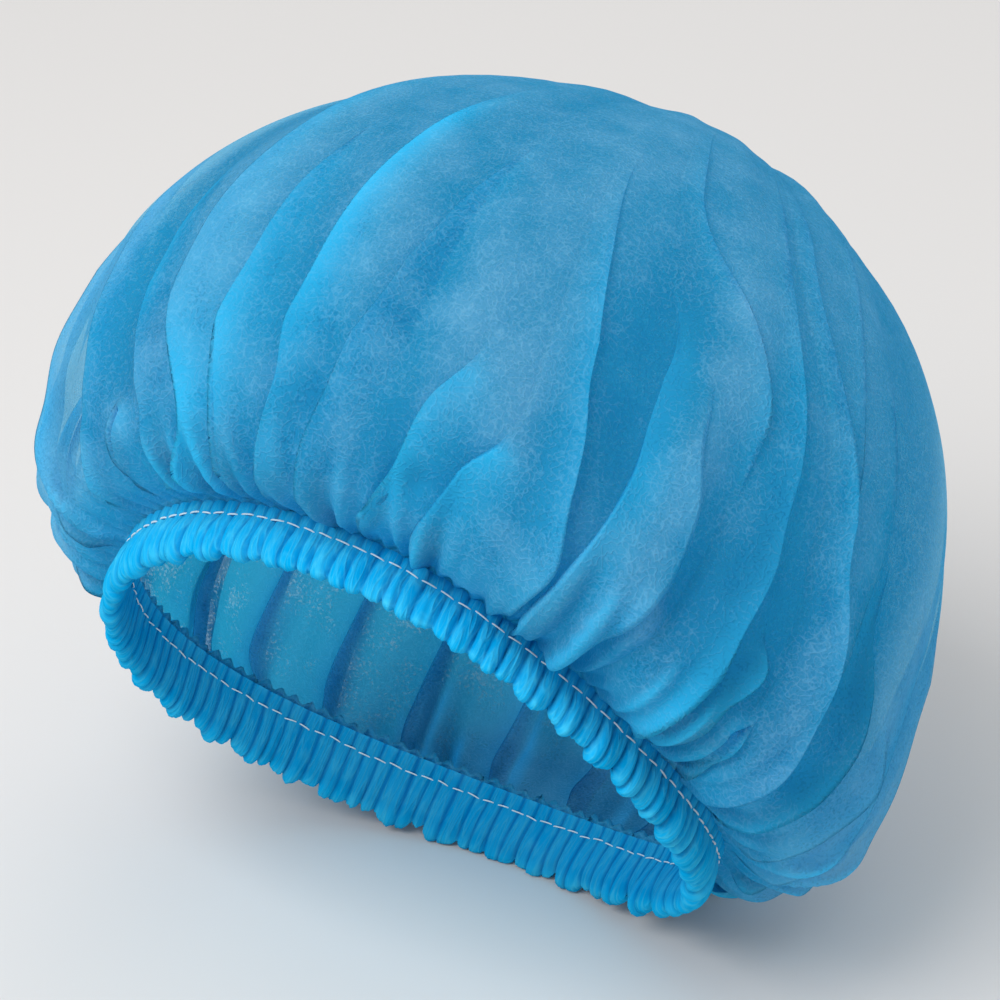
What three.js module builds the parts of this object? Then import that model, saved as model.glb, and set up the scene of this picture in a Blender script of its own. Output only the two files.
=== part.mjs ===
// Disposable hairnet (bouffant cap): a gathered disc of thin nonwoven cloth, puffed into a dome,
// with its edge folded outward into a ribbed casing around a flat elastic ring.
// Millimetres, +Z up. The cap lies on its rim and on its belly, as it does when it is put down.
import * as THREE from "three";

// How the cap lies. Its axis runs from the band to the top of the dome.
const LEAN = 54.55; // degrees between the axis and the vertical
const LEAN_TOWARDS = 57.25; // degrees from +X of the side that the axis leans to
const SPIN = -59.57; // degrees about the axis, which turns the folds
const RIM_PRESS = 1.0; // how far the soft rim is pressed flat by the floor
const CENTRE_X = -23.7; // shifts that put the middle of the cap's footprint at the origin
const CENTRE_Y = -52.2;

// The band, seen along the axis: an oval at the rim and a smaller oval at the stitch line.
const RIM_HALF = { side: 86.3, deep: 92.0 };
const RIM_SHIFT = { side: 0.7, deep: 3.7 };
const STITCH_HALF = { side: 86.9, deep: 81.6 };
const CASING_HEIGHT = 12.3; // rim to stitch line
const HEADER_HEIGHT = 3.9; // raw edge above the stitch line
const BAND_WAVE = 5.2; // how far the soft band bends out of its plane
const BAND_WAVE_ANGLE = 61; // degrees, where that bend is highest

// The dome, seen from its side: half a rounded square below the belly, and a flatter round above.
const BELLY_HALF = { side: 123.8, deep: 127.5 };
const BELLY_HEIGHT = 73.2;
const DOME_HEIGHT = 117;
const LOWER_SQUARENESS = 3.4;
const UPPER_SQUARENESS = 1.8;
const UNDER_SAG = 2.0; // how far the cloth droops where it leaves the band
const SWAY = -15; // sideways shift of the dome for each 100 mm of height
const SWAY_BACK = 8.75; // and for each 100 mm squared
const LOW_SIDE_BULGE = 11.5; // extra depth on the side that lies on the floor

// Cloth
const CROWN_WALL = 1.2;
const CASING_WALL = 1.0;
const GAP = 0.3;

// Ribs of the casing
const RIB_COUNT = 112;
const RIB_RISE = 0.7;
const HEADER_PUCKER = 0.4;

// The casing's cloth in a cut across the band, from its end inside the cap, down round the fold at
// the rim and up the outside to the raw edge. Level is 0 at the rim and 1 at the stitch line,
// outward is in mm from the band's middle, and ribs is the share of a rib's rise there.
const HEADER_LEVEL = 1 + HEADER_HEIGHT / CASING_HEIGHT;
const CASING_PATH = [
  { level: 0.93, outward: -1.6, ribs: 0.5 },
  { level: 0.32, outward: -2.6, ribs: 1 },
  { level: 0.0, outward: 0, ribs: 0.8 },
  { level: 0.32, outward: 2.6, ribs: 1 },
  { level: 1.0, outward: 1.75, ribs: 0.35 },
  { level: HEADER_LEVEL, outward: 2.7, ribs: 1 },
];

// The elastic ring inside the casing
const ELASTIC_THICK = 0.8;
const ELASTIC_SPAN = { low: 0.27, high: 0.75 }; // shares of the casing's height
const ELASTIC_STEPS = 72;

// Folds of the dome in order around the band. Angles are in degrees about the axis: where the
// crest leaves the band, and where it points near the top. Rise is in mm. Reach is how far up
// the crest runs, on a scale of -90 at the band, 0 at the belly and 90 at the top.
const FOLDS = [
  { band: 192, top: 203, rise: 5, reach: 10 },
  { band: 203, top: 208, rise: 3, reach: -40 },
  { band: 215, top: 213, rise: 6, reach: 20 },
  { band: 222, top: 221, rise: 5, reach: 30 },
  { band: 230, top: 229, rise: 5, reach: 15 },
  { band: 237, top: 240, rise: 6, reach: 35 },
  { band: 246, top: 252, rise: 8, reach: 32 },
  { band: 254, top: 257, rise: 5, reach: 0 },
  { band: 263, top: 261, rise: 5, reach: -20 },
  { band: 272, top: 266, rise: 8, reach: 40 },
  { band: 279, top: 277, rise: 6, reach: 18 },
  { band: 286, top: 281, rise: 6, reach: 5 },
  { band: 298, top: 285, rise: 7, reach: 50 },
  { band: 304, top: 289, rise: 4, reach: -5 },
  { band: 311, top: 292, rise: 3, reach: -40 },
  { band: 318, top: 295, rise: 7, reach: 55 },
  { band: 326, top: 303, rise: 5, reach: 42 },
  { band: 337, top: 314, rise: 5, reach: 50 },
  { band: 349, top: 330, rise: 6, reach: 20 },
  { band: 361, top: 346, rise: 5, reach: 35 },
  { band: 372, top: 362, rise: 6, reach: 25 },
  { band: 384, top: 378, rise: 7, reach: 45 },
  { band: 396, top: 393, rise: 5, reach: 15 },
  { band: 408, top: 407, rise: 6, reach: 30 },
  { band: 420, top: 420, rise: 6, reach: 40 },
  { band: 432, top: 434, rise: 5, reach: 10 },
  { band: 444, top: 448, rise: 7, reach: 45 },
  { band: 456, top: 461, rise: 6, reach: 30 },
  { band: 468, top: 473, rise: 6, reach: 20 },
  { band: 480, top: 485, rise: 7, reach: 45 },
  { band: 492, top: 498, rise: 5, reach: 15 },
  { band: 504, top: 510, rise: 6, reach: 35 },
  { band: 518, top: 524, rise: 6, reach: 40 },
  { band: 536, top: 544, rise: 5, reach: 20 },
];
const FOLD_SHARPNESS = 1.4;
const FOLD_BELOW = 0.35; // share of a fold's rise that lies inside the smooth dome
const FOLD_ROLL = 0.35; // how far a crest rolls over its neighbour, as a share of its rise
const FOLD_TOP = 30; // where the crests have reached their upper angles
const FOLD_START = { none: -86, full: -45 }; // heights between which the folds grow out of the band
const FOLD_END = { full: -40, none: 14 }; // heights, from a fold's reach, between which it fades

// Where each fold is cut into columns, and the rows of the dome from the band to the top.
// Share says how many of the columns a row keeps.
const COLUMNS_IN_FOLD = [0, 0.27, 0.5, 0.73];
const ROWS = [
  { up: -80, share: 1 },
  { up: -62, share: 1 },
  { up: -40, share: 1 },
  { up: -14, share: 1 },
  { up: 12, share: 1 },
  { up: 32, share: 1 },
  { up: 47, share: 1 },
  { up: 60, share: 0.5 },
  { up: 72, share: 0.5 },
  { up: 82, share: 0.25 },
];

// The crown's cloth goes straight up behind the raw edge before it spreads.
const NECK_CLEARANCE = 1.6;
const NECK_LEVEL = HEADER_LEVEL + NECK_CLEARANCE / CASING_HEIGHT;
const FOOT_LEVEL = 0.985;

const radians = THREE.MathUtils.degToRad;
const lerp = THREE.MathUtils.lerp;
const smooth = THREE.MathUtils.smoothstep;

// The turn from the cap's own frame, with the band in its XY plane, to how it lies.
const lying = new THREE.Matrix4()
  .makeRotationZ(radians(LEAN_TOWARDS))
  .multiply(new THREE.Matrix4().makeRotationY(radians(LEAN)))
  .multiply(new THREE.Matrix4().makeRotationZ(radians(SPIN)));

function wave(angle) {
  return BAND_WAVE * Math.cos(2 * (angle - radians(BAND_WAVE_ANGLE)));
}

// A point of the band: level is 0 at the rim and 1 at the stitch line, outward is the distance
// from the band's middle.
function bandPoint(angle, level, outward) {
  const side = lerp(RIM_HALF.side, STITCH_HALF.side, level) + outward;
  const deep = lerp(RIM_HALF.deep, STITCH_HALF.deep, level) + outward;
  const shift = 1 - level;
  return new THREE.Vector3(
    RIM_SHIFT.side * shift + side * Math.cos(angle),
    RIM_SHIFT.deep * shift + deep * Math.sin(angle),
    CASING_HEIGHT * level + wave(angle),
  );
}

// A point of the smooth dome, before its folds. Up runs from -90 at the band to 90 at the top.
function domePoint(angle, up) {
  const turn = radians(up);
  const power = 2 / (up < 0 ? LOWER_SQUARENESS : UPPER_SQUARENESS);
  const across = Math.max(Math.cos(turn), 0) ** power;
  const along = Math.abs(Math.sin(turn)) ** power;
  const neck = bandPoint(angle, NECK_LEVEL, 0);
  const belly = new THREE.Vector3(
    BELLY_HALF.side * Math.cos(angle),
    BELLY_HALF.deep * Math.sin(angle),
    BELLY_HEIGHT,
  );
  const point = belly.clone();
  if (up < 0) {
    point.lerpVectors(neck, belly, across);
    point.z = lerp(BELLY_HEIGHT, neck.z, along) - UNDER_SAG * 4 * across * (1 - across);
  } else {
    point.multiplyScalar(across);
    point.z = BELLY_HEIGHT + DOME_HEIGHT * along;
  }
  const rise = Math.max(point.z - CASING_HEIGHT, 0) / 100;
  point.x += SWAY * rise + SWAY_BACK * rise * rise;
  const lowSide = Math.max(Math.sin(angle), 0) ** 2;
  const fullness = Math.min(Math.max(point.z - CASING_HEIGHT, 0) / BELLY_HEIGHT, 1);
  point.y += LOW_SIDE_BULGE * lowSide * smooth(fullness, 0, 1);
  return point;
}

// The fold with this number, counted past the end of the table by whole turns.
function foldAt(number) {
  const count = FOLDS.length;
  const turns = Math.floor(number / count);
  const fold = FOLDS[number - turns * count];
  return { ...fold, band: fold.band + 360 * turns, top: fold.top + 360 * turns };
}

// How much of a fold shows at this height: it grows out of the band and dies at its reach.
function foldStrength(fold, up) {
  const grown = smooth(up, FOLD_START.none, FOLD_START.full);
  const left = 1 - smooth(up, fold.reach + FOLD_END.full, fold.reach + FOLD_END.none);
  return grown * left;
}

// A point of the folded dome. Along counts folds: whole numbers are crests, halves are valleys.
function foldedPoint(along, up) {
  const before = foldAt(Math.floor(along));
  const after = foldAt(Math.floor(along) + 1);
  const share = along - Math.floor(along);
  const drift = smooth(up, -90, FOLD_TOP);
  const angleBefore = lerp(before.band, before.top, drift);
  const angleAfter = lerp(after.band, after.top, drift);
  const riseBefore = before.rise * foldStrength(before, up);
  const riseAfter = after.rise * foldStrength(after, up);
  const rise = lerp(riseBefore, riseAfter, smooth(share, 0, 1));
  const fromCrest = Math.min(share, 1 - share);
  const crest = (1 - 2 * fromCrest) ** FOLD_SHARPNESS;
  const rolled = (FOLD_ROLL * rise * (1 - crest)) / BELLY_HALF.side;
  const angle = radians(lerp(angleBefore, angleAfter, share)) + rolled;
  const point = domePoint(angle, up);
  const outward = surfaceNormal(domePoint, angle, up, ANGLE_STEP);
  return point.addScaledVector(outward, rise * (crest - FOLD_BELOW));
}

// The outward normal of a surface given as a function of a number around and a number up.
const ANGLE_STEP = 0.01;
const ALONG_STEP = 0.04;
const UP_STEP = 0.5;
function surfaceNormal(surface, around, up, stepAround) {
  const low = Math.max(up - UP_STEP, -90);
  const high = Math.min(up + UP_STEP, 90);
  const sideways = surface(around + stepAround, up).sub(surface(around - stepAround, up));
  const upwards = surface(around, high).sub(surface(around, low));
  return sideways.cross(upwards).normalize();
}

// Turns a point to how the cap lies, and presses cloth that would be under the floor flat on it.
// Clearance is how far above the floor that layer of cloth stays.
const rimLow = lowestOfRim();
function settle(point, clearance) {
  const placed = point.clone().applyMatrix4(lying);
  placed.x += CENTRE_X;
  placed.y += CENTRE_Y;
  placed.z = Math.max(placed.z - rimLow - RIM_PRESS, clearance);
  return placed;
}

function lowestOfRim() {
  let lowest = Infinity;
  for (let rib = 0; rib < RIB_COUNT; rib += 1) {
    const angle = (rib / RIB_COUNT) * 2 * Math.PI;
    for (const { level, outward } of CASING_PATH) {
      const crest = bandPoint(angle, level, outward + Math.sign(outward) * RIB_RISE);
      lowest = Math.min(lowest, crest.applyMatrix4(lying).z - CASING_WALL / 2);
    }
  }
  return lowest;
}

// A closed mesh from points and triangles.
function solid(points, triangles) {
  const numbers = points.flatMap((point) => point.toArray());
  const geometry = new THREE.BufferGeometry();
  geometry.setAttribute("position", new THREE.Float32BufferAttribute(numbers, 3));
  geometry.setIndex(triangles.flat());
  geometry.computeVertexNormals();
  return geometry;
}

// Triangles between two rings of points that start at the same side, where the upper ring may
// have fewer points. A ring is { first, count }.
function stitchRings(lower, upper) {
  const triangles = [];
  let low = 0;
  let high = 0;
  while (low < lower.count || high < upper.count) {
    const a = lower.first + (low % lower.count);
    const b = upper.first + (high % upper.count);
    const lowerIsNext = (low + 1) * upper.count <= (high + 1) * lower.count;
    if (high === upper.count || (low < lower.count && lowerIsNext)) {
      low += 1;
      triangles.push([a, lower.first + (low % lower.count), b]);
    } else {
      high += 1;
      triangles.push([a, upper.first + (high % upper.count), b]);
    }
  }
  return triangles;
}

// Triangles from a ring up to the single point above it.
function fan(ring, top) {
  return Array.from({ length: ring.count }, (_, i) => [
    ring.first + i,
    ring.first + ((i + 1) % ring.count),
    top.first,
  ]);
}

// One wall of the crown, as rings from the stitch line to the top, set in by a depth.
function crownRings(depth) {
  const columns = FOLDS.length * COLUMNS_IN_FOLD.length;
  const place = (column) => {
    const inFold = column % COLUMNS_IN_FOLD.length;
    return (column - inFold) / COLUMNS_IN_FOLD.length + COLUMNS_IN_FOLD[inFold];
  };
  const angleOf = (column) => {
    const before = foldAt(Math.floor(place(column)));
    const after = foldAt(Math.floor(place(column)) + 1);
    return radians(lerp(before.band, after.band, place(column) % 1));
  };
  const outer = CROWN_WALL / 2 - depth;
  const rings = [FOOT_LEVEL, NECK_LEVEL].map((level) =>
    Array.from({ length: columns }, (_, column) => bandPoint(angleOf(column), level, outer)),
  );
  for (const { up, share } of ROWS) {
    const step = Math.round(1 / share);
    rings.push(
      Array.from({ length: columns / step }, (_, index) => {
        const along = place(index * step);
        const outward = surfaceNormal(foldedPoint, along, up, ALONG_STEP);
        return foldedPoint(along, up).addScaledVector(outward, outer);
      }),
    );
  }
  const top = domePoint(0, 90);
  top.z += outer;
  rings.push([top]);
  return rings;
}

// The crown is two walls that meet along the stitch line.
function crownGeometry() {
  const points = [];
  const triangles = [];
  const walls = [0, CROWN_WALL].map((depth) =>
    crownRings(depth).map((ring) => {
      const first = points.length;
      points.push(...ring.map((point) => settle(point, depth)));
      return { first, count: ring.length };
    }),
  );
  walls.forEach((rings, wall) => {
    for (let row = 0; row + 1 < rings.length; row += 1) {
      const join = rings[row + 1].count === 1 ? fan : stitchRings;
      const faces = join(rings[row], rings[row + 1]);
      triangles.push(...(wall === 0 ? faces : faces.map((face) => face.reverse())));
    }
  });
  const edge = stitchRings(walls[1][0], walls[0][0]);
  triangles.push(...edge);
  return solid(points, triangles);
}

// A loop of points for each column, joined into a closed ring around the axis.
function ringGeometry(columns, loopAt) {
  const loops = Array.from({ length: columns }, (_, column) => loopAt(column));
  const size = loops[0].length;
  const triangles = [];
  for (let column = 0; column < columns; column += 1) {
    const here = column * size;
    const next = ((column + 1) % columns) * size;
    for (let i = 0; i < size; i += 1) {
      const j = (i + 1) % size;
      triangles.push([here + i, next + i, here + j], [next + i, next + j, here + j]);
    }
  }
  return solid(loops.flat(), triangles);
}

// The unit normal on the left of the way from one point of a cut to the next.
function leftOf(from, to) {
  const step = to.clone().sub(from);
  return new THREE.Vector2(-step.y, step.x).normalize();
}

// The mitred corner of a layer of cloth that lies at a given distance from its middle path.
const SHARPEST_MITRE = 0.5;
function offsetCorner(cut, i, offset) {
  const normals = [];
  if (i > 0) normals.push(leftOf(cut[i - 1], cut[i]));
  if (i < cut.length - 1) normals.push(leftOf(cut[i], cut[i + 1]));
  const middle = normals.reduce((sum, normal) => sum.add(normal), new THREE.Vector2()).normalize();
  const mitre = offset / Math.max(middle.dot(normals[0]), SHARPEST_MITRE);
  return cut[i].clone().addScaledVector(middle, mitre);
}

// The casing's cut at one column. Even columns are the crests of ribs, odd ones the valleys.
function casingLoop(column) {
  const angle = (column / (2 * RIB_COUNT)) * 2 * Math.PI;
  const crest = column % 2 === 0 ? 1 : -1;
  const cut = CASING_PATH.map(({ level, outward, ribs }) => {
    const pucker = level > 1 ? crest * HEADER_PUCKER : 0;
    const rib = Math.sign(outward) * crest * ribs * RIB_RISE;
    return new THREE.Vector2(outward + rib, level * CASING_HEIGHT + pucker);
  });
  const side = (offset, clearance) =>
    cut.map((_, i) => {
      const corner = offsetCorner(cut, i, offset);
      return settle(bandPoint(angle, corner.y / CASING_HEIGHT, corner.x), clearance);
    });
  return [...side(-CASING_WALL / 2, 0), ...side(CASING_WALL / 2, CASING_WALL).reverse()];
}

function elasticLoop(column) {
  const angle = (column / ELASTIC_STEPS) * 2 * Math.PI;
  const half = ELASTIC_THICK / 2;
  return [
    [ELASTIC_SPAN.low, half],
    [ELASTIC_SPAN.high, half],
    [ELASTIC_SPAN.high, -half],
    [ELASTIC_SPAN.low, -half],
  ].map(([level, outward]) => settle(bandPoint(angle, level, outward), CASING_WALL + GAP));
}

const cloth = new THREE.MeshStandardMaterial({ color: 0x3a9fd8, roughness: 0.9, metalness: 0 });
const casingCloth = new THREE.MeshStandardMaterial({ color: 0x2a98df, roughness: 0.88, metalness: 0 });
const rubber = new THREE.MeshStandardMaterial({ color: 0xe9edf0, roughness: 0.7, metalness: 0 });

const hairnet = new THREE.Group();
[
  ["crown", crownGeometry(), cloth],
  ["hem_casing", ringGeometry(2 * RIB_COUNT, casingLoop), casingCloth],
  ["elastic", ringGeometry(ELASTIC_STEPS, elasticLoop), rubber],
].forEach(([name, geometry, material]) => {
  const mesh = new THREE.Mesh(geometry, material);
  mesh.name = name;
  hairnet.add(mesh);
});

export default hairnet;
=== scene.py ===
"""Dresses the disposable hairnet: a puffed nonwoven crown, its gathered casing and its thread."""

import logging
import math
from dataclasses import dataclass, field
from enum import Enum

import bpy
import numpy as np
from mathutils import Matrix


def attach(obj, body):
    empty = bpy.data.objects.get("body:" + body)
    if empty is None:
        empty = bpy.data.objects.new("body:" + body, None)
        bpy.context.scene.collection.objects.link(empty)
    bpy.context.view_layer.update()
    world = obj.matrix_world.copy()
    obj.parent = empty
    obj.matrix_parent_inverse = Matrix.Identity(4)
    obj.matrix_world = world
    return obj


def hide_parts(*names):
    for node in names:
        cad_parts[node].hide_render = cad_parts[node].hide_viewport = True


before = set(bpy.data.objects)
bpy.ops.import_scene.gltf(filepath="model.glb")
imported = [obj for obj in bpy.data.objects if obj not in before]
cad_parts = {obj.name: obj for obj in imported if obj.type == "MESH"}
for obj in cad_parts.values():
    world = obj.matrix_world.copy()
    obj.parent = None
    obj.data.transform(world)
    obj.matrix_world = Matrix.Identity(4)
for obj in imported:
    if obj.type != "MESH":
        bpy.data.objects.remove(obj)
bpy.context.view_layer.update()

LOG = logging.getLogger("hairnet")
MM = 0.001
FULL_TURN = 360.0
NECK_UP, TOP_UP = -90.0, 90.0
Array = np.ndarray
Colour = tuple[float, float, float]
Spot = tuple[float, float, float]
Socket = bpy.types.NodeSocket
Piece = bpy.types.Object


class Lean(Enum):
    """Which way a fold lies over its neighbour, seen from outside with the band below."""

    LEFT = -1.0
    RIGHT = 1.0


def smooth_step(value: Array, start: float, end: float) -> Array:
    """Rises from 0, where value is start, to 1, where it is end, as 3t^2 - 2t^3."""
    t = np.clip((value - start) / (end - start), 0.0, 1.0)
    return t * t * (3.0 - 2.0 * t)


def blend(low: Array, high: Array, share: Array) -> Array:
    """Gives low + (high - low) * share."""
    return low + (high - low) * share


@dataclass(frozen=True)
class Fade:
    """A smooth change from low, up to start, to high, from end on."""

    start: float
    end: float
    low: float = 0.0
    high: float = 1.0

    def at(self, value: Array) -> Array:
        """Gives low + (high - low) * smooth step of the value."""
        return blend(self.low, self.high, smooth_step(value, self.start, self.end))


@dataclass(frozen=True)
class Window:
    """A part of the cap's round or of its levels, in degrees; it may run on past a full turn."""

    start: float
    full: float
    ebb: float
    end: float

    def at(self, degrees: Array) -> Array:
        """Gives 1 between full and ebb and 0 outside start and end, with smooth slopes."""
        rise, fall = Fade(self.start, self.full), Fade(self.ebb, self.end, 1.0, 0.0)
        return sum(rise.at(turned) * fall.at(turned) for turned in (degrees, degrees + FULL_TURN))


@dataclass(frozen=True)
class Waves:
    """Seeded sine waves that close round the cap.

    turns holds the least and the most waves round the cap, and rate the fastest change of phase
    along the cloth, in radians for each unit of row.
    """

    seed: int
    count: int
    turns: tuple[int, int]
    rate: float = 0.0

    def at(self, angle: Array, row: Array) -> Array:
        """Sums sin(turns * angle + rate * row + phase) over the waves.

        Args:
            angle: angle round the cap, in radians.
            row: distance up the cloth.

        Returns:
            The sum, divided so that its spread is about 1.
        """
        rng = np.random.default_rng(self.seed)
        total = np.zeros(np.broadcast(angle, row).shape)
        for _ in range(self.count):
            turns = rng.integers(self.turns[0], self.turns[1] + 1)
            rate, phase = rng.uniform(-self.rate, self.rate), rng.uniform(0, 2 * math.pi)
            total = total + np.sin(turns * angle + rate * row + phase)
        return total / math.sqrt(self.count / 2.0)


def point_numbers(rows: int, columns: int, closed: bool = True) -> Array:
    """Numbers a grid's points row by row; where it is closed, the first column comes again last."""
    numbers = np.arange(rows * columns).reshape(rows, columns)
    return np.concatenate([numbers, numbers[:, :1]], axis=1) if closed else numbers


def grid_quads(numbers: Array) -> Array:
    """Joins each four neighbours of a grid of point numbers into a quad, n x 4."""
    corners = [numbers[:-1, :-1], numbers[:-1, 1:], numbers[1:, 1:], numbers[1:, :-1]]
    return np.stack(corners, axis=-1).reshape(-1, 4)


def mesh_object(name: str, points: Array, quads: Array, triangles: Array | None = None) -> Piece:
    """Puts points and faces into a new object at the origin.

    Args:
        name: the object's name.
        points: ... x 3, in metres.
        quads: m x 4 point numbers.
        triangles: k x 3 point numbers, if there are any.

    Returns:
        The new object, smooth shaded and linked to the scene.
    """
    mesh = bpy.data.meshes.new(name)
    faces = quads.tolist() + ([] if triangles is None else triangles.tolist())
    mesh.from_pydata(points.reshape(-1, 3).tolist(), [], faces)
    mesh.polygons.foreach_set("use_smooth", np.ones(len(faces), dtype=bool))
    mesh.update()
    piece = bpy.data.objects.new(name, mesh)
    bpy.context.scene.collection.objects.link(piece)
    return piece


def set_cloth_map(piece: Piece, across: Array, along: Array) -> None:
    """Gives a grid piece a UV map named cloth, from one value pair for each point.

    Args:
        piece: the mesh object.
        across: distance round the band at each point, in metres.
        along: distance along the ribs at each point, in metres.
    """
    corners = np.empty(len(piece.data.loops), dtype=np.int64)
    piece.data.loops.foreach_get("vertex_index", corners)
    pairs = np.stack(np.broadcast_arrays(across, along), axis=-1).reshape(-1, 2)[corners]
    cloth_map = piece.data.uv_layers.new(name="cloth")
    cloth_map.uv.foreach_set("vector", pairs.astype(np.float32).ravel())


def set_attributes(piece: Piece, **values: Array) -> None:
    """Stores numbers on a piece, for its material to read.

    Args:
        piece: the mesh object.
        values: one number for each point, under the attribute's name.
    """
    for name, numbers in values.items():
        attribute = piece.data.attributes.new(name, "FLOAT", "POINT")
        attribute.data.foreach_set("value", np.float32(numbers).ravel())


@dataclass(frozen=True)
class CapPose:
    """How the cap lies: built mouth down about its own axis, then turned, leaned and set down."""

    lean: float = 54.55
    lean_towards: float = 57.25
    spin: float = -59.57
    centre: Spot = (-23.7, -52.2, 73.15)
    soft_height: float = 1.2

    @staticmethod
    def _about_z(angle: float) -> Array:
        """Gives the matrix of a turn about Z, for an angle in radians."""
        cos, sin = math.cos(angle), math.sin(angle)
        return np.array([[cos, -sin, 0], [sin, cos, 0], [0, 0, 1]])

    def turn(self) -> Array:
        """Turns the cap: spin about Z, then lean about Y, then the lean's direction about Z.

        Returns:
            The turning matrix, 3 x 3.
        """
        lean, towards, spin = map(math.radians, (self.lean, self.lean_towards, self.spin))
        cos, sin = math.cos(lean), math.sin(lean)
        about_y = np.array([[cos, 0, sin], [0, 1, 0], [-sin, 0, cos]])
        return self._about_z(towards) @ about_y @ self._about_z(spin)

    def lay(self, points: Array, lift: float = 0.0) -> Array:
        """Lays points on the floor: turned, shifted, and pressed so that none is below it.

        A height z under soft_height becomes soft * exp((z - soft) / soft), which nears 0 and never
        goes under.

        Args:
            points: ... x 3 in the cap's own frame, in mm.
            lift: height in mm that the pressed cloth keeps above the floor.

        Returns:
            The same points in the object's frame, in metres.
        """
        laid = points @ self.turn().T + np.array(self.centre)
        z = laid[..., 2] - lift
        soft = self.soft_height
        pressed = soft * np.exp((np.minimum(z, soft) - soft) / soft)
        laid[..., 2] = np.where(z < soft, pressed, z) + lift
        return laid * MM


@dataclass(frozen=True)
class CapForm:
    """The smooth form under the folds: an oval band and a dome over it (mm, degrees).

    sway and sway_back shift the dome sideways with its height above the casing: by sway * h +
    sway_back * h^2, with h in units of sway_span.
    """

    rim_half: tuple[float, float] = (86.3, 92.0)
    rim_shift: tuple[float, float] = (0.7, 3.7)
    stitch_half: tuple[float, float] = (86.9, 81.6)
    casing_height: float = 12.3
    header_height: float = 3.9
    band_wave: float = 5.2
    band_wave_angle: float = 61.0
    neck_clearance: float = 1.6
    belly_half: tuple[float, float] = (123.8, 127.5)
    belly_height: float = 73.2
    dome_height: float = 117.0
    lower_squareness: float = 3.4
    upper_squareness: float = 1.8
    under_sag: float = 2.0
    sway: float = -15.0
    sway_back: float = 8.75
    sway_span: float = 100.0
    low_side_bulge: float = 11.5

    @property
    def header_level(self) -> float:
        """The header's top, in casing heights above the rim."""
        return 1.0 + self.header_height / self.casing_height

    @property
    def neck_level(self) -> float:
        """Where the crown leaves the header, in casing heights above the rim."""
        return self.header_level + self.neck_clearance / self.casing_height

    def band(self, angle: Array, level: Array, outward: Array) -> Array:
        """A point of the band: an oval that changes from the rim to the stitch line, with a wave.

        Args:
            angle: angle round the band, in radians.
            level: 0 at the rim and 1 at the stitch line.
            outward: distance out from the oval, in mm.

        Returns:
            Points ... x 3 in the cap's own frame, in mm.
        """
        side = blend(self.rim_half[0], self.stitch_half[0], level) + outward
        deep = blend(self.rim_half[1], self.stitch_half[1], level) + outward
        x = self.rim_shift[0] * (1 - level) + side * np.cos(angle)
        y = self.rim_shift[1] * (1 - level) + deep * np.sin(angle)
        wave = self.band_wave * np.cos(2 * (angle - math.radians(self.band_wave_angle)))
        return np.stack(np.broadcast_arrays(x, y, self.casing_height * level + wave), axis=-1)

    def dome(self, angle: Array, up: Array) -> Array:
        """A point of the dome: a rounded-square arch from neck to belly, a flatter one to the top.

        Across the arch goes |cos(up)|^(2/n) and along it |sin(up)|^(2/n), with n larger below the
        belly.

        Args:
            angle: angle round the cap, in radians.
            up: -90 at the neck, 0 at the belly and 90 at the top, in degrees.

        Returns:
            Points ... x 3 in the cap's own frame, in mm.
        """
        angle, up = np.broadcast_arrays(angle, np.clip(up, NECK_UP, TOP_UP))
        low = up < 0
        power = np.where(low, 2 / self.lower_squareness, 2 / self.upper_squareness)
        across = np.abs(np.cos(np.radians(up))) ** power
        along = np.abs(np.sin(np.radians(up))) ** power
        neck = self.band(angle, np.full(angle.shape, self.neck_level), 0.0)
        around = np.stack([np.cos(angle), np.sin(angle)], axis=-1)
        belly = np.array(self.belly_half) * around
        arch = across[..., None]
        flat = np.where(low[..., None], blend(neck[..., :2], belly, arch), belly * arch)
        sag = self.under_sag * 4 * across * (1 - across)
        under = blend(self.belly_height, neck[..., 2], along) - sag
        z = np.where(low, under, self.belly_height + self.dome_height * along)
        rise = np.maximum(z - self.casing_height, 0) / self.sway_span
        x = flat[..., 0] + self.sway * rise + self.sway_back * rise**2
        lifted = smooth_step(z, self.casing_height, self.casing_height + self.belly_height)
        y = flat[..., 1] + self.low_side_bulge * np.maximum(np.sin(angle), 0) ** 2 * lifted
        return np.stack([x, y, z], axis=-1)


@dataclass(frozen=True)
class Fold:
    """One long fold of the crown.

    course holds its angle in degrees at the levels of FOLD_LEVELS, rise its height in mm, lap how
    far its edge lies over its neighbour in mm, and foot and head the levels in degrees between
    which it is full.
    """

    course: tuple[float, float, float, float, float, float, float]
    rise: float
    lap: float
    lean: Lean
    head: float
    foot: float = -95.0


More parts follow.
